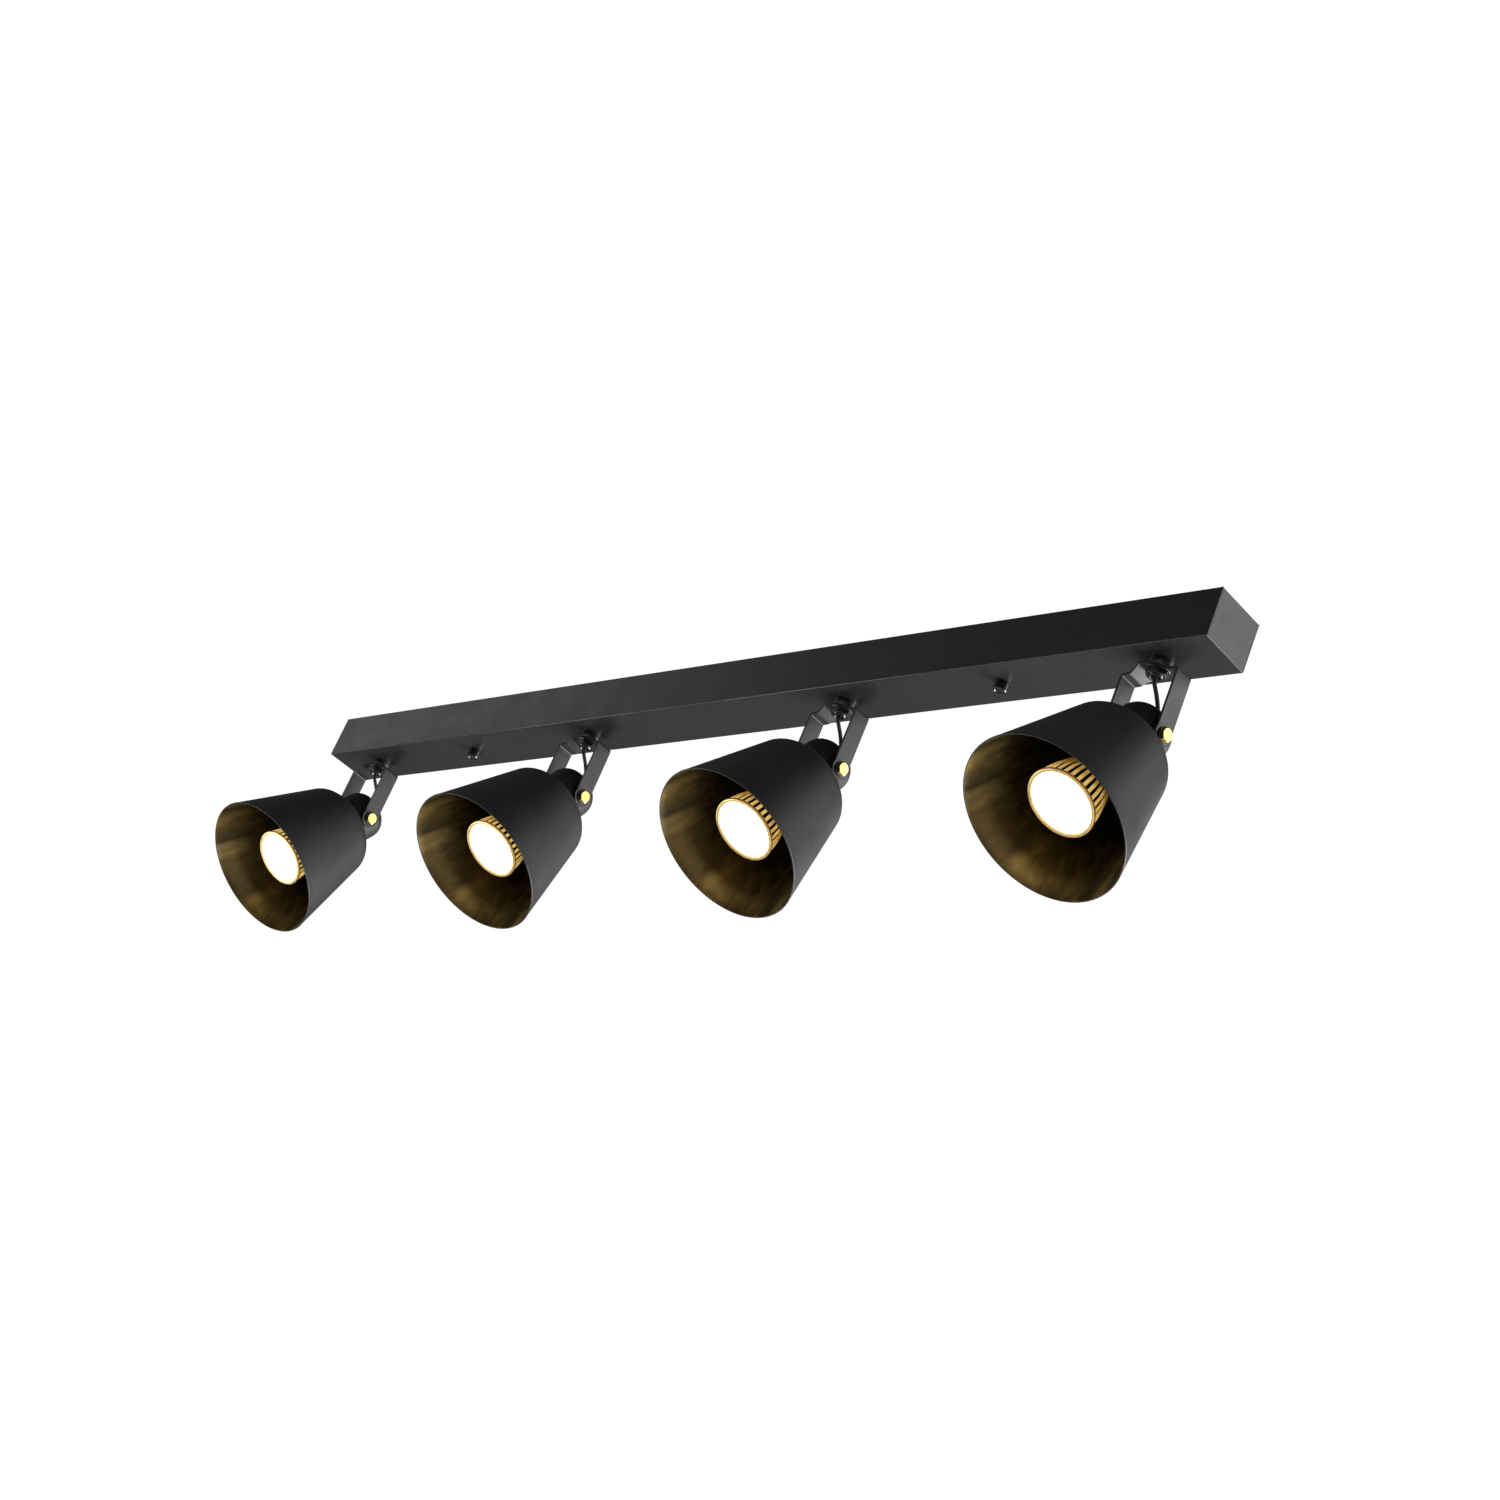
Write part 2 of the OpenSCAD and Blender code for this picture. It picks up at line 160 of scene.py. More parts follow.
def rounded(points, rad=0.3, seg=3, closed=True):
    """Rounds a polygon's corners. A point may carry its own radius."""
    out, n = [], len(points)
    for i, p in enumerate(points):
        r = p[2] if len(p) > 2 else rad
        if r <= 0 or (not closed and i in (0, n - 1)):
            out.append((p[0], p[1]))
            continue
        b = Vector(p[:2])
        u, v = Vector(points[i - 1][:2]) - b, Vector(points[(i + 1) % n][:2]) - b
        lu, lv = u.length, v.length
        u, v = u / lu, v / lv
        ang = math.acos(max(-1.0, min(1.0, u.dot(v))))
        if ang > math.radians(176) or ang < 0.02:
            out.append((b.x, b.y))
            continue
        t = min(r / math.tan(ang / 2), lu * 0.46, lv * 0.46)
        rr = t * math.tan(ang / 2)
        c = b + (u + v).normalized() * (rr / math.sin(ang / 2))
        p0, p1 = b + u * t - c, b + v * t - c
        a0 = math.atan2(p0.y, p0.x)
        d = (math.atan2(p1.y, p1.x) - a0 + math.pi) % (2 * math.pi) - math.pi
        for k in range(seg + 1):
            out.append((c.x + rr * math.cos(a0 + d * k / seg), c.y + rr * math.sin(a0 + d * k / seg)))
    return out


def ring_faces(rings, closed):
    faces, seg = [], []
    for a in range(len(rings) if closed else len(rings) - 1):
        A, B = rings[a], rings[(a + 1) % len(rings)]
        n = max(len(A), len(B))
        if n == 1:
            continue
        for k in range(n):
            j = (k + 1) % n
            if len(A) == 1:
                f = (A[0], B[k], B[j])
            elif len(B) == 1:
                f = (A[k], A[j], B[0])
            else:
                f = (A[k], A[j], B[j], B[k])
            faces.append(f)
            seg.append(a)
    return faces, seg


def turned(prof, n=96, closed=False, shape=None, start=0):
    """Points and faces of a profile (r, z) turned round Z. shape(angle, r, z) may change a point."""
    verts, rings = [], []
    for r, z in prof:
        if r < 1e-6:
            rings.append([start + len(verts)])
            verts.append((0, 0, z))
            continue
        rings.append(list(range(start + len(verts), start + len(verts) + n)))
        for k in range(n):
            a = 2 * math.pi * k / n
            rr, zz = (r, z) if shape is None else shape(a, r, z)
            verts.append((rr * math.cos(a), rr * math.sin(a), zz))
    faces, seg = ring_faces(rings, closed)
    return verts, faces, seg


def lathe(name, prof, mats, n=96, closed=False, matrix=None, sharp=32, which=None, shape=None):
    v, f, seg = turned(prof, n, closed, shape)
    return obj(name, v, f, mats, None if which is None else [which(s) for s in seg], matrix, sharp)


def merged(parts):
    """Several (verts, faces) as one."""
    verts, faces = [], []
    for v, f in parts:
        k = len(verts)
        verts += v
        faces += [tuple(i + k for i in q) for q in f]
    return verts, faces


def moved(v, matrix):
    return [tuple(matrix @ Vector(p)) for p in v]


def hexagon(af, bore, z0, z1, low=True, high=True, n=96, dish=0.0):
    """A hexagon with turned chamfers. bore 0 closes it, and dish sinks a closed top."""
    R = af / 2
    rc = R * 0.97
    prof = []
    k = math.tan(math.radians(30))

    def hexr(a):
        return R / math.cos((a % (math.pi / 3)) - math.pi / 6)

    verts, rings = [], []

    def ring(fr, fz):
        rings.append(list(range(len(verts), len(verts) + n)))
        for j in range(n):
            a = 2 * math.pi * j / n
            h = hexr(a)
            verts.append((fr(h) * math.cos(a), fr(h) * math.sin(a), fz(h)))

    def pole(z):
        rings.append([len(verts)])
        verts.append((0, 0, z))

    if bore > 0:
        ring(lambda h: bore, lambda h: z0 + 0.35)
        ring(lambda h: bore + 0.35, lambda h: z0)
    else:
        pole(z0)
    if low:
        ring(lambda h: rc, lambda h: z0)
    ring(lambda h: h, lambda h: z0 + (k * (h - rc) if low else 0))
    ring(lambda h: h, lambda h: z1 - (k * (h - rc) if high else 0))
    if high:
        ring(lambda h: rc, lambda h: z1)
    if bore > 0:
        ring(lambda h: bore + 0.35, lambda h: z1)
        ring(lambda h: bore, lambda h: z1 - 0.35)
    else:
        if dish:
            ring(lambda h: rc * 0.62, lambda h: z1)
            ring(lambda h: rc * 0.54, lambda h: z1 - dish)
        pole(z1 - dish)
    f, _ = ring_faces(rings, bore > 0)
    return verts, f


def spline(P, k):
    """Smooth points through P."""
    P = [Vector(p) for p in P]
    out = []
    for i in range(len(P) - 1):
        a, b, c, d = P[max(i - 1, 0)], P[i], P[i + 1], P[min(i + 2, len(P) - 1)]
        for j in range(k):
            t = j / k
            out.append(0.5 * (2 * b + (c - a) * t + (2 * a - 5 * b + 4 * c - d) * t * t
                              + (3 * b - a - 3 * c + d) * t ** 3))
    return out + [P[-1]]


def tube(path, r, n=16, wobble=None):
    """Points and faces of a closed round tube along path."""
    verts, rings = [], []
    t0 = (path[1] - path[0]).normalized()
    u = t0.cross(Vector((0.3, 1, 0.2))).normalized()
    for i, p in enumerate(path):
        t = (path[min(i + 1, len(path) - 1)] - path[max(i - 1, 0)]).normalized()
        u = (u - t * u.dot(t)).normalized()
        w = t.cross(u)
        rings.append(list(range(len(verts), len(verts) + n)))
        for k in range(n):
            a = 2 * math.pi * k / n
            verts.append(tuple(p + (math.cos(a) * u + math.sin(a) * w) * r))
    faces, _ = ring_faces(rings, False)
    faces.append(tuple(rings[0]))
    faces.append(tuple(reversed(rings[-1])))
    return verts, faces


def round_bar(name, r, z0, z1, matrix, n=64):
    v, f, _ = turned([(0, z0), (r, z0), (r, z1), (0, z1)], n)
    return obj(name, v, f, matrix=matrix)


# ---------------------------------------------------------------- materials
def node(nt, kind, at=None, **values):
    n = nt.nodes.new(kind)
    for k, v in values.items():
        if k in n.inputs:
            n.inputs[k].default_value = v
        else:
            setattr(n, k, v)
    return n


def base_material(name):
    m = bpy.data.materials.new(name)
    m.use_nodes = True
    nt = m.node_tree
    return m, nt, nt.nodes["Principled BSDF"]


def noise(nt, coord, scale, detail=3.0, rough=0.55, stretch=None, distortion=0.0):
    src = coord
    if stretch:
        mp = node(nt, "ShaderNodeMapping")
        mp.inputs["Scale"].default_value = stretch
        nt.links.new(coord, mp.inputs["Vector"])
        src = mp.outputs["Vector"]
    n = node(nt, "ShaderNodeTexNoise")
    n.inputs["Scale"].default_value = scale
    n.inputs["Detail"].default_value = detail
    n.inputs["Roughness"].default_value = rough
    n.inputs["Distortion"].default_value = distortion
    nt.links.new(src, n.inputs["Vector"])
    return n.outputs["Fac"]


def ramp(nt, fac, stops):
    r = node(nt, "ShaderNodeValToRGB")
    els = r.color_ramp.elements
    while len(els) < len(stops):
        els.new(0.5)
    for e, (p, c) in zip(els, stops):
        e.position = p
        e.color = (*c, 1) if len(c) == 3 else c
    nt.links.new(fac, r.inputs["Fac"])
    return r.outputs["Color"]


def span(nt, value, a, b, lo, hi, smooth=False):
    n = node(nt, "ShaderNodeMapRange")
    if smooth:
        n.interpolation_type = "SMOOTHSTEP"
    n.inputs["From Min"].default_value = a
    n.inputs["From Max"].default_value = b
    n.inputs["To Min"].default_value = lo
    n.inputs["To Max"].default_value = hi
    nt.links.new(value, n.inputs["Value"])
    return n.outputs["Result"]


def calc(nt, how, a, b=None):
    n = node(nt, "ShaderNodeMath")
    n.operation = how
    for k, v in enumerate((a, b)):
        if v is None:
            continue
        if isinstance(v, (int, float)):
            n.inputs[k].default_value = v
        else:
            nt.links.new(v, n.inputs[k])
    return n.outputs[0]


def mix(nt, fac, a, b, how="MIX"):
    n = node(nt, "ShaderNodeMix")
    n.data_type = "RGBA"
    n.blend_type = how
    if isinstance(fac, (int, float)):
        n.inputs[0].default_value = fac
    else:
        nt.links.new(fac, n.inputs[0])
    for s, v in ((6, a), (7, b)):
        if isinstance(v, tuple):
            n.inputs[s].default_value = (*v, 1) if len(v) == 3 else v
        else:
            nt.links.new(v, n.inputs[s])
    return n.outputs[2]


def bump(nt, bsdf, height, strength, distance, before=None):
    b = node(nt, "ShaderNodeBump")
    b.inputs["Strength"].default_value = strength
    b.inputs["Distance"].default_value = distance
    nt.links.new(height, b.inputs["Height"])
    if before is not None:
        nt.links.new(before, b.inputs["Normal"])
    nt.links.new(b.outputs["Normal"], bsdf.inputs["Normal"])
    return b.outputs["Normal"]


def coords(nt):
    return node(nt, "ShaderNodeTexCoord").outputs["Object"]


def powder(name, dark, light, rough=(0.38, 0.5), grain=1400, depth=0.00006, strength=0.3, spec=0.5, speck=None):
    """Powder coat: a fine orange peel, drifting tone and tiny lighter grains."""
    m, nt, b = base_material(name)
    c = coords(nt)
    big = noise(nt, c, 14, 4, 0.6)
    fine = noise(nt, c, grain, 2, 0.5)
    tone = calc(nt, "ADD", calc(nt, "MULTIPLY", big, 0.65), calc(nt, "MULTIPLY", fine, 0.35))
    col = ramp(nt, tone, [(0.3, dark), (0.72, light)])
    if speck:
        dots = ramp(nt, noise(nt, c, grain * 1.7, 1, 0.4), [(0.68, (0, 0, 0)), (0.76, (1, 1, 1))])
        col = mix(nt, calc(nt, "MULTIPLY", dots, 0.5), col, speck)
    nt.links.new(col, b.inputs["Base Color"])
    smear = noise(nt, c, 36, 5, 0.65)
    nt.links.new(span(nt, smear, 0.3, 0.7, rough[0], rough[1]), b.inputs["Roughness"])
    b.inputs["Specular IOR Level"].default_value = spec
    n1 = bump(nt, b, fine, strength, depth)
    bump(nt, b, noise(nt, c, 160, 2, 0.5), 0.1, 0.0001, n1)
    return m


def metal(name, dark, light, rough=(0.25, 0.4), stretch=(1, 1, 1), scale=600, depth=0.00003, strength=0.25):
    m, nt, b = base_material(name)
    c = coords(nt)
    lines = noise(nt, c, scale, 3, 0.6, stretch)
    patch = noise(nt, c, 90, 4, 0.6)
    tone = calc(nt, "ADD", calc(nt, "MULTIPLY", lines, 0.5), calc(nt, "MULTIPLY", patch, 0.5))
    nt.links.new(ramp(nt, tone, [(0.3, dark), (0.7, light)]), b.inputs["Base Color"])
    b.inputs["Metallic"].default_value = 1.0
    nt.links.new(span(nt, patch, 0.3, 0.7, rough[0], rough[1]), b.inputs["Roughness"])
    bump(nt, b, lines, strength, depth)
    return m


def plastic(name, dark, light, rough=(0.4, 0.55), scale=700, depth=0.00004, strength=0.2, spec=0.5):
    m, nt, b = base_material(name)
    c = coords(nt)
    fine = noise(nt, c, scale, 3, 0.6)
    broad = noise(nt, c, 40, 4, 0.6)
    nt.links.new(ramp(nt, calc(nt, "ADD", calc(nt, "MULTIPLY", fine, 0.4), calc(nt, "MULTIPLY", broad, 0.6)),
                      [(0.3, dark), (0.7, light)]), b.inputs["Base Color"])
    nt.links.new(span(nt, broad, 0.3, 0.7, rough[0], rough[1]), b.inputs["Roughness"])
    b.inputs["Specular IOR Level"].default_value = spec
    bump(nt, b, fine, strength, depth)
    return m


def axis_parts(nt):
    """x, y, z, radius and angle round Z in the piece's own frame."""
    s = node(nt, "ShaderNodeSeparateXYZ")
    at = node(nt, "ShaderNodeAttribute", attribute_name="lc")
    nt.links.new(at.outputs["Vector"], s.inputs[0])
    x, y, z = s.outputs
    rad = calc(nt, "SQRT", calc(nt, "ADD", calc(nt, "MULTIPLY", x, x), calc(nt, "MULTIPLY", y, y)))
    return x, y, z, rad, calc(nt, "ARCTAN2", y, x)


M = {}
M["bar"] = powder("bar powder coat", (0.0085, 0.0085, 0.0095), (0.0155, 0.0155, 0.0165), (0.33, 0.44), grain=1500,
                  depth=0.00005, strength=0.25, spec=0.5, speck=(0.03, 0.03, 0.032))
M["yoke"] = powder("yoke powder coat", (0.012, 0.012, 0.013), (0.021, 0.021, 0.022), (0.36, 0.46), grain=1700,
                   depth=0.00004, strength=0.25, spec=0.5, speck=(0.035, 0.035, 0.037))
M["neck"] = powder("neck powder coat", (0.007, 0.007, 0.007), (0.013, 0.013, 0.013), (0.5, 0.62), grain=1500,
                   depth=0.00006, strength=0.3, spec=0.4)
M["cap"] = powder("cap gloss black", (0.006, 0.006, 0.006), (0.012, 0.012, 0.012), (0.12, 0.2), grain=900,
                  depth=0.00002, strength=0.15, spec=0.6)
M["blacksteel"] = powder("blackened steel", (0.008, 0.008, 0.009), (0.02, 0.02, 0.021), (0.2, 0.34), grain=900,
                         depth=0.00003, strength=0.2, spec=0.7)
M["zinc"] = metal("zinc plate", (0.42, 0.43, 0.45), (0.66, 0.67, 0.68), (0.28, 0.46), (1, 6, 1), 260)
M["brass"] = metal("turned brass", (0.83, 0.52, 0.10), (1.0, 0.74, 0.22), (0.16, 0.28), (1, 1, 8), 500, 0.00002, 0.2)
M["brass_old"] = metal("plain brass", (0.55, 0.38, 0.12), (0.75, 0.55, 0.22), (0.3, 0.45), (1, 1, 4), 500)
M["block"] = plastic("block plastic", (0.62, 0.6, 0.53), (0.78, 0.76, 0.7), (0.42, 0.55))
M["white"] = plastic("base plastic", (0.7, 0.67, 0.58), (0.84, 0.82, 0.74), (0.35, 0.5))
M["ceramic"] = plastic("steatite", (0.62, 0.58, 0.49), (0.82, 0.79, 0.71), (0.55, 0.75), 420, 0.00012, 0.4)
M["washer"] = plastic("nylon black", (0.006, 0.006, 0.006), (0.012, 0.012, 0.012), (0.45, 0.6), spec=0.4)
M["rubber"] = plastic("lead sheath", (0.008, 0.008, 0.008), (0.016, 0.016, 0.016), (0.4, 0.55), 1200, 0.00005, 0.35, 0.4)
M["grommet"] = plastic("grommet rubber", (0.006, 0.006, 0.006), (0.012, 0.012, 0.012), (0.5, 0.65), 1200, 0.00006, 0.35, 0.35)
M["earth"] = plastic("earth sheath", (0.16, 0.30, 0.03), (0.27, 0.45, 0.06), (0.35, 0.5), 900, 0.00004, 0.3)


def shade_black():
    """Matt coat with the faintest turning lines of a spun shade."""
    m, nt, b = base_material("shade powder coat")
    x, y, z, rad, ang = axis_parts(nt)
    c = coords(nt)
    fine = noise(nt, c, 1500, 2, 0.5)
    big = noise(nt, c, 16, 4, 0.6)
    lines = noise(nt, c, 60, 2, 0.5, (0.01, 0.01, 12))
    tone = calc(nt, "ADD", calc(nt, "MULTIPLY", big, 0.55),
                calc(nt, "ADD", calc(nt, "MULTIPLY", fine, 0.3), calc(nt, "MULTIPLY", lines, 0.15)))
    col = ramp(nt, tone, [(0.3, (0.0098, 0.0097, 0.0095)), (0.72, (0.0165, 0.0163, 0.016))])
    dots = ramp(nt, noise(nt, c, 2300, 1, 0.4), [(0.68, (0, 0, 0)), (0.77, (1, 1, 1))])
    col = mix(nt, calc(nt, "MULTIPLY", dots, 0.35), col, (0.028, 0.028, 0.028))
    nt.links.new(col, b.inputs["Base Color"])
    nt.links.new(span(nt, noise(nt, c, 30, 5, 0.65), 0.3, 0.7, 0.46, 0.58), b.inputs["Roughness"])
    b.inputs["Specular IOR Level"].default_value = 0.5
    n1 = bump(nt, b, fine, 0.3, 0.00007)
    bump(nt, b, lines, 0.12, 0.00012, n1)
    return m


def shade_gold():
    """Bronze-gold inside coat with streaks that run from the neck to the mouth, and painted shade that darkens it
    towards the neck.
    """
    m, nt, b = base_material("shade gold inside")
    x, y, z, rad, ang = axis_parts(nt)
    c = coords(nt)
    comb = node(nt, "ShaderNodeCombineXYZ")
    nt.links.new(calc(nt, "MULTIPLY", calc(nt, "SINE", ang), 1.0), comb.inputs[0])
    nt.links.new(calc(nt, "MULTIPLY", calc(nt, "COSINE", ang), 1.0), comb.inputs[1])
    nt.links.new(calc(nt, "MULTIPLY", z, 7.0), comb.inputs[2])
    streak = noise(nt, comb.outputs[0], 9.0, 6, 0.68, None, 0.25)
    blot = noise(nt, comb.outputs[0], 2.3, 3, 0.55, None, 0.6)
    near = span(nt, z, 0.055, 0.1, 1.0, 0.12, True)
    amount = calc(nt, "MULTIPLY", near, 0.85)
    tone = calc(nt, "ADD", calc(nt, "MULTIPLY", streak, amount), calc(nt, "MULTIPLY", blot, calc(nt, "SUBTRACT", 1.0, amount)))
    col = ramp(nt, tone, [(0.34, (0.024, 0.016, 0.003)), (0.5, (0.085, 0.058, 0.014)), (0.68, (0.25, 0.175, 0.052))])
    # painted shade: the inside coat darkens towards the neck, deep in the shade where little light reaches
    col = mix(nt, 1.0, col, span(nt, z, 0.045, 0.1, 0.25, 1.0, True), "MULTIPLY")
    nt.links.new(col, b.inputs["Base Color"])
    b.inputs["Metallic"].default_value = 0.55
    nt.links.new(span(nt, streak, 0.3, 0.7, 0.36, 0.52), b.inputs["Roughness"])
    fine = noise(nt, c, 1400, 2, 0.5)
    n1 = bump(nt, b, fine, 0.25, 0.00006)
    bump(nt, b, streak, 0.25, 0.0004, n1)
    return m


def fin_metal():
    """Die-cast metal with painted lamp light: a warm gold colour and emission on the fins' outer edges, and painted
    shade in the gaps between fins.
    """
    m, nt, b = base_material("heatsink metal")
    x, y, z, rad, ang = axis_parts(nt)
    c = coords(nt)
    fine = noise(nt, c, 900, 3, 0.6)
    patch = noise(nt, c, 120, 4, 0.6)
    tone = calc(nt, "ADD", calc(nt, "MULTIPLY", fine, 0.4), calc(nt, "MULTIPLY", patch, 0.6))
    # painted shade: the gaps between the fins are dark, and only the outer edges and the bezel get the warm metal
    # colour, which is painted lamp light
    tips = calc(nt, "MINIMUM", calc(nt, "ADD", calc(nt, "MULTIPLY", z, 0.275), 0.00245),
                calc(nt, "ADD", calc(nt, "MULTIPLY", z, 0.154), 0.0114))
    # outer is the painted-light mask: 1 on the fins' outer edges and the bezel, 0 in the gaps, which are painted
    # shade
    outer = span(nt, calc(nt, "SUBTRACT", rad, tips), -0.0011, -0.0004, 0.0, 1.0, True)
    outer = calc(nt, "MAXIMUM", outer, span(nt, z, 0.0853, 0.0857, 0.0, 0.8))
    warm_lit_metal = ramp(nt, tone, [(0.3, (0.62, 0.45, 0.2)), (0.7, (0.9, 0.7, 0.36))])
    nt.links.new(mix(nt, outer, (0.02, 0.014, 0.008), warm_lit_metal), b.inputs["Base Color"])
    b.inputs["Metallic"].default_value = 0.75
    nt.links.new(span(nt, patch, 0.3, 0.7, 0.3, 0.45), b.inputs["Roughness"])
    bump(nt, b, fine, 0.3, 0.00006)
    # painted lamp light: emission on the outer edges and the bezel, fading deeper in, stands in for the light the
    # lamp throws there
    deep = span(nt, z, 0.054, 0.083, 0.25, 1.0, True)
    deep = calc(nt, "MULTIPLY", deep, span(nt, z, 0.0838, 0.0842, 1.0, 0.4))
    painted_glow = calc(nt, "MULTIPLY", calc(nt, "MULTIPLY", outer, deep), span(nt, patch, 0.3, 0.7, 0.75, 1.15))
    nt.links.new(ramp(nt, painted_glow, [(0.0, (0.0, 0.0, 0.0)), (0.55, (0.22, 0.11, 0.015)), (1.0, (0.95, 0.62, 0.17))]),
                 b.inputs["Emission Color"])
    b.inputs["Emission Strength"].default_value = 0.75
    return m


def lens_glow():
    m, nt, b = base_material("lit lens")
    x, y, z, rad, ang = axis_parts(nt)
    c = coords(nt)
    b.inputs["Roughness"].default_value = 0.35
    cells = node(nt, "ShaderNodeTexVoronoi")
    cells.inputs["Scale"].default_value = 420
    nt.links.new(c, cells.inputs["Vector"])
    bump(nt, b, cells.outputs["Distance"], 0.3, 0.0002)
    nt.links.new(ramp(nt, cells.outputs["Distance"], [(0.0, (1.0, 0.95, 0.82)), (1.0, (0.92, 0.84, 0.66))]),
                 b.inputs["Base Color"])
    edge = span(nt, rad, 0.0185, 0.0222, 0.0, 1.0, True)
    col = mix(nt, edge, (1.0, 0.90, 0.70), (1.0, 0.66, 0.26))
    nt.links.new(col, b.inputs["Emission Color"])
    b.inputs["Emission Strength"].default_value = 5.0
    return m


M["shade"] = shade_black()
M["gold"] = shade_gold()
M["fins"] = fin_metal()
M["lens"] = lens_glow()


def piece(ob, body, slot, *nodes):
    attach(ob, body)
    if nodes:
        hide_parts(*nodes)
    return ob


# ---------------------------------------------------------------- the bar
def bar():
    X, Y, T = 490.0, 22.0, 1.2
    verts, faces = [], []

    def rect(x, y, z):
        k = len(verts)
        verts.extend([(-x, -y, z), (x, -y, z), (x, y, z), (-x, y, z)])
        return [k, k + 1, k + 2, k + 3]

    ot, ob_, it, ib = rect(X, Y, 0), rect(X, Y, BOTTOM), rect(X - T, Y - T, 0), rect(X - T, Y - T, BOTTOM + T)
    for a, b in ((ot, ob_), (it, ib), (ot, it)):
        for k in range(4):
            j = (k + 1) % 4
            faces.append((a[k], a[j], b[j], b[k]))
    faces.append(tuple(ob_))
    faces.append(tuple(ib))
    ob = obj("bar_shell", verts, faces, [M["bar"]])
    bm = bmesh.new()
    bm.from_mesh(ob.data)
    ends = [e for e in bm.edges
            if all(abs(abs(v.co.x) - X * MM) < 1e-6 and abs(abs(v.co.y) - Y * MM) < 1e-6 for v in e.verts)
            and abs(e.verts[0].co.z - e.verts[1].co.z) > 0.01]
    low = [e for e in bm.edges if all(abs(v.co.z - BOTTOM * MM) < 1e-6 for v in e.verts)]
    bmesh.ops.bevel(bm, geom=ends + low, offset=0.9 * MM, segments=4, profile=0.5, affect="EDGES")
    rim = [e for e in bm.edges if all(abs(v.co.z) < 1e-6 for v in e.verts)]
    bmesh.ops.bevel(bm, geom=rim, offset=0.25 * MM, segments=1, profile=0.5, affect="EDGES")
    bmesh.ops.recalc_face_normals(bm, faces=bm.faces)
    bm.to_mesh(ob.data)
    bm.free()
    # cut the four nipple holes and two stud holes
    parts = []
    for x in LAMP_X:
        v, f, _ = turned([(0, -5), (5.25, -5), (5.25, 5), (0, 5)], 48)
        parts.append((moved(v, Matrix.Translation((x, 0, BOTTOM))), f))
    for s in (-1, 1):
        v, f, _ = turned([(0, -5), (2.4, -5), (2.4, 5), (0, 5)], 32)
        parts.append((moved(v, Matrix.Translation((s * 300, 0, BOTTOM))), f))
    # hairline joints where the folded end flaps meet the long sides, on the end faces
    for s in (-1, 1):
        for y in (-1, 1):
            v = [(s * 490.4 + a, y * 20.7 + b, c) for a in (-0.62, 0.3) for b in (-0.11, 0.11) for c in (BOTTOM + 1.4, 1.0)]
            f = [(0, 1, 3, 2), (4, 5, 7, 6), (0, 1, 5, 4), (2, 3, 7, 6), (0, 2, 6, 4), (1, 3, 7, 5)]
            parts.append((v, f))
    v, f = merged(parts)
    cut(ob, obj("cutter", v, f))
    shade(ob, 30, True)
    piece(ob, "root", "bar_black", "housing")


bar()


def caps():
    parts = []
    prof = rounded([(2.1, 0, 0.1), (4.7, 0, 0.25), (5.0, -0.5, 0.2), (5.0, -6.2, 0.35), (4.55, -7.0, 0.3), (3.75, -7.0, 0.25),
                    (3.3, -6.25, 0.3)], 0.3, 3, False)
    prof = prof + [(0, -6.15), (0, -5.4), (2.1, -5.4)]
    v, f, _ = turned(prof, 72, True)
    for s in (-1, 1):
        parts.append((moved(v, Matrix.Translation((s * 300, 0, BOTTOM))), f))
    v, f = merged(parts)
    piece(obj("stud_caps", v, f, [M["cap"]], sharp=40), "root", "cap_black", "cap_nuts")


caps()


def nipples():
    parts = []
    z0, z1, pitch = BOTTOM - 12.5, BOTTOM + 4.8, 1.0
    rows = int((z1 - z0 - 1.0) / 0.25)
    prof = [(3.5, z0 + 0.2), (3.7, z0), (4.6, z0)]
    prof += [(5.0, z0 + 0.5 + 0.25 * k) for k in range(rows + 1)]
    prof += [(4.6, z1), (3.7, z1), (3.5, z1 - 0.2)]

    def thread(a, r, z):
        if r < 4.99:
            return r, z
        p = ((z / pitch + a / (2 * math.pi)) % 1.0)
        return 5.0 - 0.42 * abs(2 * p - 1), z

    v, f, _ = turned(prof, 48, True, thread)
    for x in LAMP_X:
        parts.append((moved(v, Matrix.Translation((x, 0, 0))), f))
    v, f = merged(parts)
    piece(obj("nipples", v, f, [M["blacksteel"]], sharp=50), "root", "black_steel", "threaded_nipples")


nipples()


def rings(name, body, slot, nodes, mat, prof, n=72, xs=LAMP_X):
    parts = []
    v, f, _ = turned(prof, n, True)
    for x in xs:
        parts.append((moved(v, Matrix.Translation((x, 0, 0))), f))
    v, f = merged(parts)
    return piece(obj(name, v, f, [mat], sharp=40), body, slot, *nodes)


rings("swivel_collars", "root", "black_steel", ["swivel_spacers"], M["blacksteel"],
      rounded([(5.05, BOTTOM - 4), (8.5, BOTTOM - 4), (8.5, BOTTOM), (5.05, BOTTOM)], 0.25, 2))
zt = PAD_TOP - 2.0
rings("swivel_discs", "root", "black_steel", ["swivel_washers"], M["blacksteel"],
      rounded([(5.05, zt - 1.1), (8.6, zt - 1.1), (8.6, zt - 0.1), (5.05, zt - 0.1)], 0.3, 3))


def hexes(name, slot, nodes, mat, af, bore, z0, z1, xs):
    parts = []
    v, f = hexagon(af, bore, z0, z1)
    for x in xs:
        parts.append((moved(v, Matrix.Translation((x, 0, 0))), f))
    v, f = merged(parts)
    return piece(obj(name, v, f, [mat], sharp=25), "root", slot, *nodes)


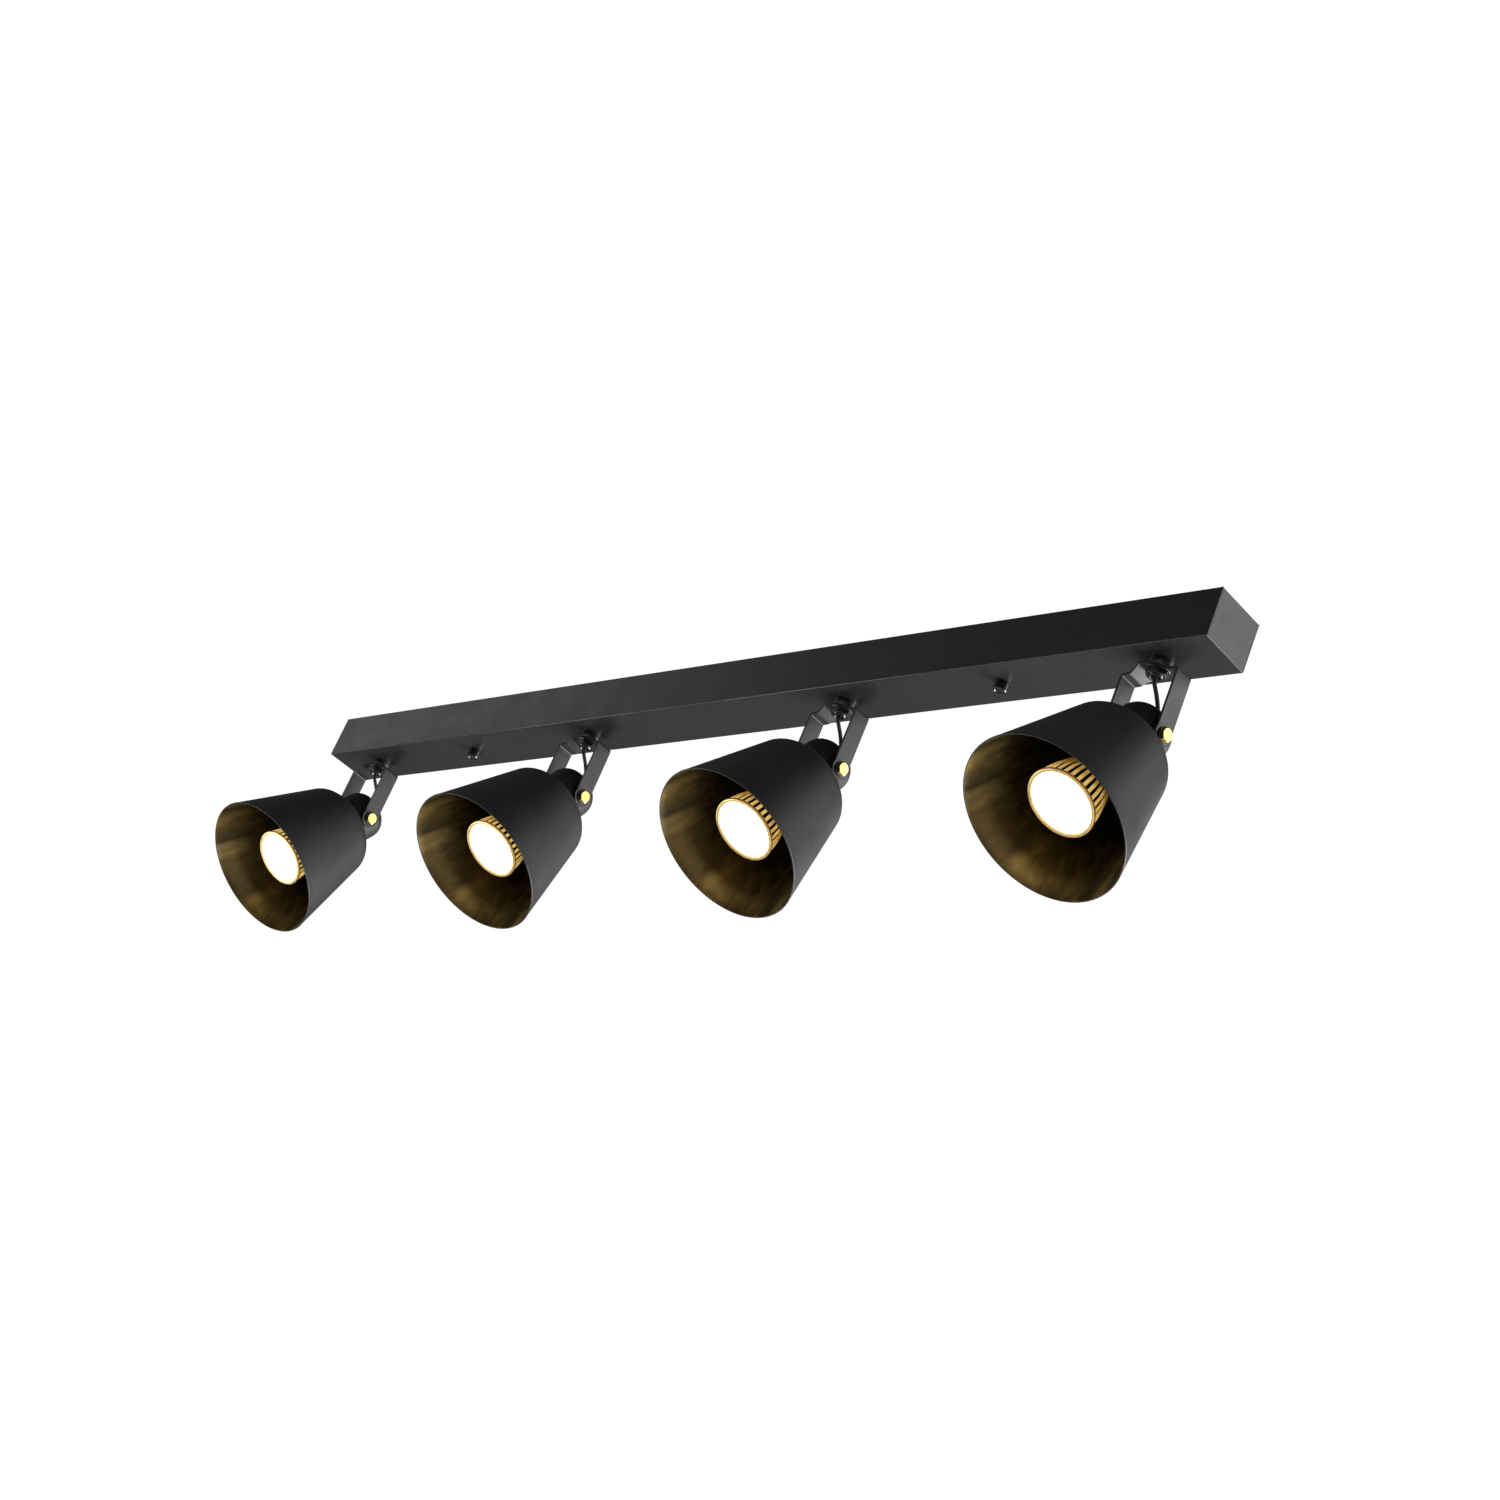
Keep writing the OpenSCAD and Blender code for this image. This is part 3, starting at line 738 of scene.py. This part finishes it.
hexes("swivel_hex_nuts", "black_steel", ["swivel_nuts"], M["blacksteel"], 14, 5.05, zt - 5.1, zt - 1.1, LAMP_X)
hexes("nipple_back_nuts", "zinc_steel", ["nipple_lock_nuts"], M["zinc"], 14, 5.05, BOTTOM + 1.2, BOTTOM + 4.2, LAMP_X)
hexes("stud_back_nuts", "zinc_steel", ["stud_lock_nuts"], M["zinc"], 7, 2.1, -5.2, -2.0, (-300, 300))

# wires inside the bar, with the same routes as their solids
LEAD_START, LEAD_RUN = [46.5, 54, 66, 73.5], [-20, -26, -26, -20]


def inside_route(i):
    s, a, z, x = (-1 if i < 2 else 1), LEAD_START[i], LEAD_RUN[i], LAMP_X[i]
    return [(a, 10.3, -10), (a, 13, -10.5), (a + s * 5, 15.5, -14), (a + s * 12, 16, z + 1), (a + s * 20, 16, z),
            ((a + x) / 2, 16, z), (x - s * 34, 16, z), (x - s * 24, 14, (z - 22) / 2), (x - s * 13, 6, -22),
            (x - s * 5, 1, -23), (x, 0, -29), (x, 0, -35), (x, 0, BOTTOM - 8)]


v, f = merged([tube(spline(inside_route(i), 7), 1.5, 14) for i in range(4)])
piece(obj("wires_inside", v, f, [M["rubber"]], sharp=50), "root", "lead_black", "internal_leads")
v, f = tube(spline([(60, -10.3, -10), (60, -13, -10), (66, -15.5, -9), (80, -15, -8), (94, -10, -6), (102, -3, -3.4),
                    (107.8, 0, -3.1)], 7), 1.0, 12)
piece(obj("wire_earth", v, f, [M["earth"]], sharp=50), "root", "wire_green", "earth_wire")


# ---------------------------------------------------------------- yokes
def strap_line():
    """Half of the strap's middle line, from the pad's centre to the arm's end, as (x, z)."""
    pts = [(0, PAD_TOP - 1, 0), (9.15, PAD_TOP - 1, 2.6), (17.2, BOTTOM - 11.2, 2.4), (23.5, BOTTOM - 11.2, 2.2),
           (23.5, PIVOT_Z + 12, 0)]
    return rounded(pts, 0, 8, False)


def plan_half(x):
    if x <= 9:
        return 9.5
    if x <= 15.5:
        t = (x - 9) / 6.5
        t = t * t * (3 - 2 * t) * 0.35 + t * 0.65
        return 9.5 + (7.25 - 9.5) * t
    return 7.25


def yoke(i):
    half = strap_line()
    rows = []                                   # (x, z, nx, nz, half width)
    dense = []
    for k in range(len(half) - 1):
        a, b = Vector(half[k]), Vector(half[k + 1])
        m = max(1, int((b - a).length / 1.3)) if a.x < 16 else 1
        dense += [a + (b - a) * (j / m) for j in range(m)]
    dense.append(Vector(half[-1]))
    for k, p in enumerate(dense):
        t = (dense[min(k + 1, len(dense) - 1)] - dense[max(k - 1, 0)]).normalized()
        rows.append((p.x, p.y, -t.y, t.x, plan_half(p.x)))
    # arm with a round end of radius 8 round the tilt axis
    for dz in (9.5, 7.0, 5.0):
        rows.append((23.5, PIVOT_Z + dz, 1, 0, 7.25))
    for k in range(17):
        a = math.radians(25 - 115 * k / 16)
        rows.append((23.5, PIVOT_Z + 8 * math.sin(a), 1, 0, 8 * math.cos(a) if k < 16 else 0.0))
    full = [(-x, z, -nx, nz, w) for x, z, nx, nz, w in reversed(rows[1:])] + rows
    verts, faces = [], []
    for x, z, nx, nz, w in full:
        for s, q in ((1, 1), (1, -1), (-1, -1), (-1, 1)):
            verts.append((x + nx * s, w * q, z + nz * s))
    for k in range(len(full) - 1):
        a, b = 4 * k, 4 * (k + 1)
        for j in range(4):
            faces.append((a + j, a + (j + 1) % 4, b + (j + 1) % 4, b + j))
    ob = obj(f"yoke_strap_{i + 1}", verts, faces, [M["yoke"]], matrix=lamp_matrix(i))
    hv, hf, _ = turned([(0, -4), (5.05, -4), (5.05, 4), (0, 4)], 48)
    pv, pf, _ = turned([(0, -40), (2.55, -40), (2.55, 40), (0, 40)], 32)
    v, f = merged([(moved(hv, Matrix.Translation((0, 0, PAD_TOP - 1))), hf),
                   (moved(pv, Matrix.Translation((0, 0, PIVOT_Z)) @ Matrix.Rotation(math.pi / 2, 4, "Y")), pf)])
    cut(ob, obj("cutter", v, f, matrix=lamp_matrix(i)))
    bevel(ob, 0.3, 3, 50)
    shade(ob, 35, True)
    piece(ob, f"yoke_body_{i + 1}", "yoke_black", f"yoke_{i + 1}")


# ---------------------------------------------------------------- heads
MOUTH_R, MOUTH_Z, NECK_END, BACK_R = 60.5, 106.0, 8.4, 21.8


def cone(z):
    return MOUTH_R - 0.25 * (MOUTH_Z - z)


def shade_r(z):
    return cone(z) if z >= 25 else cone(z) - (cone(NECK_END) - BACK_R) * ((25 - z) / (25 - NECK_END)) ** 2.2


def shade_in(z, t=1.2):
    z = max(z, NECK_END + 0.05)
    k = (shade_r(z + 0.05) - shade_r(z - 0.05)) / 0.1
    return shade_r(z) - t / math.sqrt(1 + k * k), z + t * k / math.sqrt(1 + k * k)


def shade_piece(i):
    zs = [8.4, 8.7, 9.1, 9.6, 10.2, 10.9, 11.7, 12.6, 13.6, 14.7, 15.9, 17.2, 18.6, 20.1, 21.7, 23.4, 25.2, 27.5, 30, 36, 44, 54,
          66, 78, 90, 100, 104.6]
    outer = [(shade_r(z) - 0.06, z) for z in zs]      # just inside the solid
    inner = [shade_in(z) for z in reversed(zs)]
    (xo, zo), (xi, zi) = outer[-1], inner[0]
    # the lip turns over in a small half round
    mid = Vector(((xo + xi) / 2 + 0.3, MOUTH_Z - 0.6))
    lip = [(mid.x + 0.6 * math.cos(a), mid.y + 0.6 * math.sin(a)) for a in [math.radians(d) for d in (0, 30, 60, 90, 120, 150, 180)]]
    prof = [(19.9, 8.4)] + outer + lip + inner + [(19.9, 9.7)]
    prof = [(r, min(z, MOUTH_Z)) for r, z in prof]
    n_out = 1 + len(outer) + 4                  # segments up to here are the outside
    v, f, seg = turned(prof, 160, True)
    which = [0 if (s < n_out or s == len(prof) - 1) else 1 for s in seg]
    ob = obj(f"shade_bell_{i + 1}", v, f, [M["shade"], M["gold"]], which, head_matrix(i), 40)
    piece(ob, f"head_{i + 1}", "shade_black", f"shade_{i + 1}")


def neck_piece(i):
    H = head_matrix(i)

    def dome(rad, dep, n=16):
        return [(12 + rad * math.cos(math.pi / 2 * k / n), -9 - dep * math.sin(math.pi / 2 * k / n)) for k in range(n + 1)]

    prof = [(19.8, 8.4), (20.75, 8.4), (21.0, 8.15), (21.0, -6)] + dome(8.94, 10.94) + [(0, -19.94), (0, -18.8)]
    prof += list(reversed(dome(7.8, 9.8))) + [(19.8, -6)]
    ob = lathe(f"neck_cup_body_{i + 1}", prof, [M["neck"]], 128, True, H, 40)
    for s in (-1, 1):
        boss = rounded([(2.55, 17.0, 0), (6.8, 17.0, 0), (6.8, 21.4, 0.35), (2.55, 21.4, 0.2)], 0.3, 3)
        bv, bf, _ = turned(boss, 64, True)
        cut(ob, obj("boss", moved(bv, Matrix.Rotation(s * math.pi / 2, 4, "Y")), bf, [M["neck"]], matrix=H), "UNION")
    pv, pf, _ = turned([(0, -40), (2.55, -40), (2.55, 40), (0, 40)], 32)
    lv, lf, _ = turned([(0, -23), (2.2, -23), (2.2, -16), (0, -16)], 32)
    cv, cf = merged([(moved(pv, Matrix.Rotation(math.pi / 2, 4, "Y")), pf), (lv, lf)])
    cut(ob, obj("cutter", cv, cf, matrix=H))
    shade(ob, 35, True)
    piece(ob, f"head_{i + 1}", "neck_black", f"neck_cup_{i + 1}")


def screws_piece(i):
    parts, rings_ = [], []
    for s in (0, math.pi):
        R = Matrix.Rotation(s, 4, "Z") @ Matrix.Rotation(math.pi / 2, 4, "Y")
        # shank with a real thread up to the head
        sp = [(0, 16.5), (1.9, 16.5)] + [(2.5, 16.9 + 0.2 * k) for k in range(44)] + [(2.5, 25.6)]

        def thread(a, r, z):
            if r < 2.49 or z > 25.3:
                return r, z
            p = ((z / 0.8 + a / (2 * math.pi)) % 1.0)
            return 2.5 - 0.3 * abs(2 * p - 1), z

        v, f, _ = turned(sp + [(0, 25.6)], 32, False, thread)
        parts.append((moved(v, R), f))
        v, f = hexagon(8.66, 0, 25.6, 28.2, low=False, high=True, dish=0.0)
        parts.append((moved(v, R), f))
        for a, b in ((21.4, 22.4), (24.6, 25.6)):
            v, f, _ = turned(rounded([(2.6, a), (5.8, a), (5.8, b), (2.6, b)], 0.28, 3), 56, True)
            rings_.append((moved(v, R), f))
    v, f = merged(parts)
    piece(obj(f"screws_brass_{i + 1}", v, f, [M["brass"]], matrix=head_matrix(i), sharp=24), f"head_{i + 1}", "brass",
          f"tilt_screws_{i + 1}")
    v, f = merged(rings_)
    piece(obj(f"washers_nylon_{i + 1}", v, f, [M["washer"]], matrix=head_matrix(i), sharp=40), f"head_{i + 1}", "washer_black",
          f"pivot_washers_{i + 1}")


def interp(table, z):
    for (z0, r0), (z1, r1) in zip(table, table[1:]):
        if z <= z1:
            return r0 + (r1 - r0) * max(0.0, (z - z0) / (z1 - z0))
    return table[-1][1]


def bulb_piece(i):
    H = head_matrix(i)
    N, half = 30, 1.2
    core = [(52, 13.6), (62, 16), (75, 19), (83.3, 20.5)]
    tip = [(52, 15.9), (56, 17.3), (62, 19.5), (74, 22.8), (83.4, 24.25)]
    per = 8
    verts, rings_ = [], []

    def star(z, grow):
        rc = interp(core, z)
        rf = rc + (interp(tip, z) - rc) * grow
        rings_.append(list(range(len(verts), len(verts) + N * per)))
        for k in range(N):
            phi = 2 * math.pi * k / N
            ac, af = math.asin(half / rc), math.asin(half / max(rf - 0.35, rc))
            at = math.asin(half * 0.72 / rf)
            for r, a in ((rc, phi - ac), (max(rf - 0.35 * grow, rc), phi - af), (rf, phi - at), (rf, phi + at),
                         (max(rf - 0.35 * grow, rc), phi + af), (rc, phi + ac),
                         (rc, phi + ac + (2 * math.pi / N - 2 * ac) * 0.33),
                         (rc, phi + ac + (2 * math.pi / N - 2 * ac) * 0.67)):
                verts.append((r * math.cos(a), r * math.sin(a), z))

    def circle(r, z):
        rings_.append(list(range(len(verts), len(verts) + N * per)))
        base = rings_[1]
        for k in base:
            a = math.atan2(verts[k][1], verts[k][0])
            verts.append((r * math.cos(a), r * math.sin(a), z))

    rings_.append([0])
    verts.append((0, 0, 52.0))
    star(52.0, 0.02)
    star(52.02, 0.75)
    star(52.6, 1.0)
    for z in (54, 56, 58.5, 61, 64, 67, 70, 73, 76, 79, 81.4):
        star(z, 1.0)
    star(83.4, 1.0)
    for r, z in ((24.55, 84.0), (24.9, 84.15), (25.0, 84.45), (25.0, 85.3), (24.92, 85.62), (24.7, 85.88), (24.4, 86.0), (22.95, 86.0),
                 (22.7, 85.92), (22.55, 85.7), (22.5, 84.4)):
        circle(r, z)
    rings_.append([len(verts)])
    verts.append((0, 0, 84.4))
    faces, _ = ring_faces(rings_, False)
    piece(obj(f"bulb_fins_{i + 1}", verts, faces, [M["fins"]], matrix=H, sharp=30), f"head_{i + 1}", "heatsink",
          f"bulb_heatsink_{i + 1}")
    lens = [(0, 84.5), (22.2, 84.5), (22.4, 84.7), (22.4, 85.1), (22.1, 85.35)]
    lens += [(21.6 * math.cos(t), 85.45 + 0.54 * math.sin(t)) for t in [math.pi / 2 * k / 10 for k in range(11)][:10]] + [(0, 85.99)]
    piece(lathe(f"bulb_lens_disc_{i + 1}", lens, [M["lens"]], 96, False, H, 45), f"head_{i + 1}", "lens", f"bulb_lens_{i + 1}")
    base = rounded([(0, 36.1, 0), (12, 36.1, 0.6), (12.6, 37.4, 0.4), (12.75, 41, 0.3), (12.3, 41.6, 0.3), (12.9, 42.6, 0.3),
                    (13.4, 51.9, 0.1), (0, 51.9, 0)], 0.3, 3, False)
    parts = [turned(base, 72)[:2]]
    for s in (-1, 1):
        pin = rounded([(0, 29, 0), (2.5, 29, 0.3), (2.5, 31.2, 0.3), (1.5, 31.2, 0.1), (1.5, 36.6, 0), (0, 36.6, 0)], 0.2, 2, False)
        v, f, _ = turned(pin, 24)
        parts.append((moved(v, Matrix.Translation((s * 5, 0, 0))), f))
    v, f = merged(parts)
    piece(obj(f"bulb_neck_{i + 1}", v, f, [M["white"]], matrix=H, sharp=40), f"head_{i + 1}", "base_white", f"bulb_base_{i + 1}")


def holder_piece(i):
    H = head_matrix(i)
    prof = rounded([(0, 4, 0), (14, 4, 0.3), (14, 6, 0.2), (19.4, 6, 0.3), (19.4, 8.2, 0.4), (14, 8.2, 0.5), (14, 34.4, 1.0),
                    (12.9, 36, 0.5), (0, 36, 0)], 0.3, 3, False)
    ob = lathe(f"holder_{i + 1}", prof, [M["ceramic"]], 96, False, H, 40)
    parts = []
    for s in (-1, 1):
        v, f, _ = turned([(0, 28.5), (2.8, 28.5), (2.8, 40), (0, 40)], 32)
        parts.append((moved(v, Matrix.Translation((s * 5, 0, 0))), f))
    v, f = merged(parts)
    cut(ob, obj("cutter", v, f, matrix=H))
    shade(ob, 38, True)
    piece(ob, f"head_{i + 1}", "ceramic", f"lampholder_{i + 1}")


def hp(i, z, y):
    t = math.radians(TILT[i])
    return (0, -math.sin(t) * z - math.cos(t) * y, PIVOT_Z - math.cos(t) * z + math.sin(t) * y)


def lead_piece(i):
    e = hp(i, -29.5, 0)
    pts = [(0, 0, BOTTOM - 8.2), (0, 0.1, BOTTOM - 12.5), (0, 1.5, BOTTOM - 16.5), (0, e[1] * 0.5, e[2] + 11.5),
           (0, e[1] * 0.84, e[2] + 4.2), hp(i, -27, 0), hp(i, -20, 0), hp(i, 4, 0)]
    v, f = tube(spline(pts, 10), 1.5, 18)
    ob = obj(f"drop_lead_{i + 1}", v, f, [M["rubber"]], matrix=lamp_matrix(i), sharp=50)
    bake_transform(ob)
    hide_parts(f"lead_{i + 1}")
    # strain relief: ribbed rubber
    prof = rounded([(2.0, -25, 0.1), (2.55, -25, 0.2), (2.85, -23.6, 0.1), (2.55, -23.35, 0.1), (2.7, -22.9, 0.1), (3.1, -22.0, 0.1),
                    (2.85, -21.75, 0.1), (2.95, -21.3, 0.1), (3.4, -20.35, 0.15), (3.4, -20, 0.1), (2.1, -20, 0), (2.1, -18.6, 0),
                    (2.8, -18.2, 0), (2.8, -17.6, 0.1), (1.7, -17.6, 0.1), (1.7, -21.5, 0)], 0.1, 2)
    v, f, _ = turned(prof, 40, True)
    piece(obj(f"strain_relief_{i + 1}", v, f, [M["grommet"]], matrix=head_matrix(i), sharp=45),
          f"head_{i + 1}", "grommet_black", f"lead_grommet_{i + 1}")


for i in range(4):
    yoke(i)
    shade_piece(i)
    neck_piece(i)
    screws_piece(i)
    bulb_piece(i)
    holder_piece(i)
    lead_piece(i)

# ---------------------------------------------------------------- carried-over solids
CARRIED = {"mounting_strip": "zinc", "mounting_studs": "zinc", "terminal_block": "block", "terminal_screws": "brass_old",
           "block_screw": "zinc", "earth_screw": "brass_old", "housing": "bar", "cap_nuts": "cap", "threaded_nipples": "blacksteel",
           "swivel_spacers": "blacksteel", "swivel_washers": "blacksteel", "swivel_nuts": "blacksteel", "nipple_lock_nuts": "zinc",
           "stud_lock_nuts": "zinc", "internal_leads": "rubber", "earth_wire": "earth"}
for k in range(1, 5):
    CARRIED.update({f"yoke_{k}": "yoke", f"shade_{k}": "shade", f"neck_cup_{k}": "neck", f"tilt_screws_{k}": "brass",
                    f"pivot_washers_{k}": "washer", f"lampholder_{k}": "ceramic", f"bulb_heatsink_{k}": "fins",
                    f"bulb_lens_{k}": "lens", f"bulb_base_{k}": "white", f"lead_{k}": "rubber", f"lead_grommet_{k}": "grommet"})
for name, key in CARRIED.items():
    o = frame["nodes"][name]
    if not o.material_slots:
        o.data.materials.append(M[key])
    for s in o.material_slots:
        s.material = M[key]

# ---------------------------------------------------------------- floor, light, background
me = bpy.data.meshes.new("floor")
bm = bmesh.new()
bmesh.ops.create_grid(bm, x_segments=8, y_segments=8, size=14)
bm.to_mesh(me)
bm.free()
floor = link(bpy.data.objects.new("floor", me))
floor.location = (0, 0, -2.4)
fm, nt, b = base_material("pale floor")
nt.links.new(ramp(nt, noise(nt, coords(nt), 3, 3), [(0.3, (0.86, 0.86, 0.86)), (0.7, (0.91, 0.91, 0.91))]), b.inputs["Base Color"])
b.inputs["Roughness"].default_value = 0.8
b.inputs["Emission Color"].default_value = (1.0, 0.99, 0.96, 1.0)
b.inputs["Emission Strength"].default_value = 0.1
me.materials.append(fm)


def softbox(name, at, aim, size, radiance, colour=(1, 1, 1), size_y=None):
    d = bpy.data.lights.new(name, "AREA")
    d.shape = "RECTANGLE"
    d.size, d.size_y = size, size_y or size
    d.energy = radiance * math.pi * d.size * d.size_y
    d.color = colour
    o = link(bpy.data.objects.new(name, d))
    o.location = at
    o.rotation_mode = "QUATERNION"
    o.rotation_quaternion = (Vector(aim) - Vector(at)).to_track_quat("-Z", "Y")
    o.visible_camera = False
    return o


softbox("box_end", (1.75, 0.95, 0.72), (0.49, 0, -0.02), 1.1, 3.3)
softbox("box_front", (-2.5, -1.0, 0.85), (-0.4, 0, -0.02), 1.2, 0.9)
softbox("box_side", (2.4, 0.1, -1.3), (0.2, 0, -0.12), 1.2, 1.2)
softbox("box_below", (-0.2, -0.4, -2.2), (0, 0, -0.1), 2.2, 0.22, (1.0, 0.94, 0.82))
softbox("strip_low", (-1.55, -0.95, -1.2), (0, 0, -0.04), 0.8, 9.0)
softbox("box_low_end", (1.35, 1.1, -1.5), (0.45, 0, -0.06), 0.6, 14.0)
softbox("box_back", (1.0, 1.9, -0.75), (0, 0, -0.12), 1.3, 24.0)

world = bpy.data.worlds.new("studio")
world.use_nodes = True
scene.world = world
wn = world.node_tree
wn.nodes.clear()
seen = wn.nodes.new("ShaderNodeBackground")
seen.inputs["Color"].default_value = (1, 1, 1, 1)
seen.inputs["Strength"].default_value = 1.05
lit = wn.nodes.new("ShaderNodeBackground")
lit.inputs["Color"].default_value = (1, 1, 1, 1)
lit.inputs["Strength"].default_value = 0.12
path = wn.nodes.new("ShaderNodeLightPath")
mixer = wn.nodes.new("ShaderNodeMixShader")
out = wn.nodes.new("ShaderNodeOutputWorld")
wn.links.new(path.outputs["Is Camera Ray"], mixer.inputs[0])
wn.links.new(lit.outputs[0], mixer.inputs[1])
wn.links.new(seen.outputs[0], mixer.inputs[2])
wn.links.new(mixer.outputs[0], out.inputs[0])

scene.view_settings.view_transform = "Standard"
scene.view_settings.look = "None"
scene.view_settings.exposure = 0.0
scene.view_settings.gamma = 1.0
